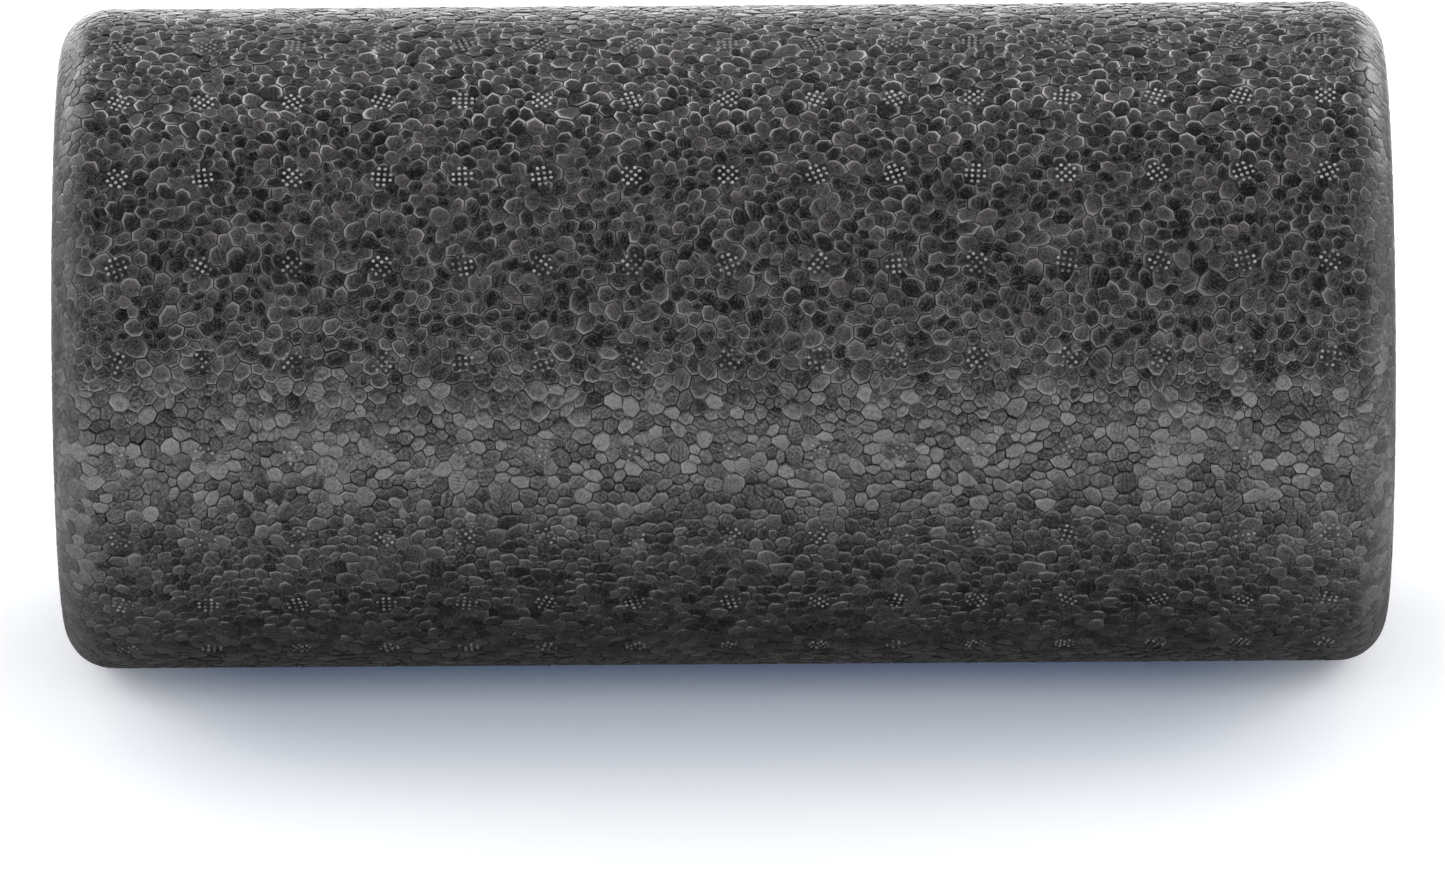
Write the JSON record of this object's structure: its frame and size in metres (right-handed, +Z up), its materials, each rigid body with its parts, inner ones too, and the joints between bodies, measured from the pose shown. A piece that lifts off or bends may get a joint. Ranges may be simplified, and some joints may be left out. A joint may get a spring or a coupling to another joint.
{
  "type": "foam roller",
  "caption": "Solid cylindrical foam roller of fused foam beads with rounded edges, flat ends and rows of small round vent marks, lying on its side.",
  "frame": {"origin": "middle of the roller's axis, half way between the two ends; the floor it lies on is at z = -0.0762 m", "axes": "+X along the roller's axis towards the right end, +Z up, -Y towards the picture's camera"},
  "size_m": [0.3048, 0.1524, 0.1524],
  "materials": {
    "bead_foam": "matte charcoal bead foam, cells fused edge to edge",
    "foam_skin": "satin charcoal bead foam skin, each bead slightly dished with a lighter rim",
    "vent_marks": "pressed foam with fine raised pips",
    "fill_marks": "smooth pressed foam"
  },
  "bodies": {
    "root": {"bead_core": "bead_foam", "roll_skin": "foam_skin", "left_end_skin": "foam_skin", "right_end_skin": "foam_skin", "roll_vent_marks": "vent_marks", "left_end_vent_marks": "vent_marks", "right_end_vent_marks": "vent_marks", "left_fill_mark": "fill_marks", "right_fill_mark": "fill_marks"}
  },
  "joints": []
}
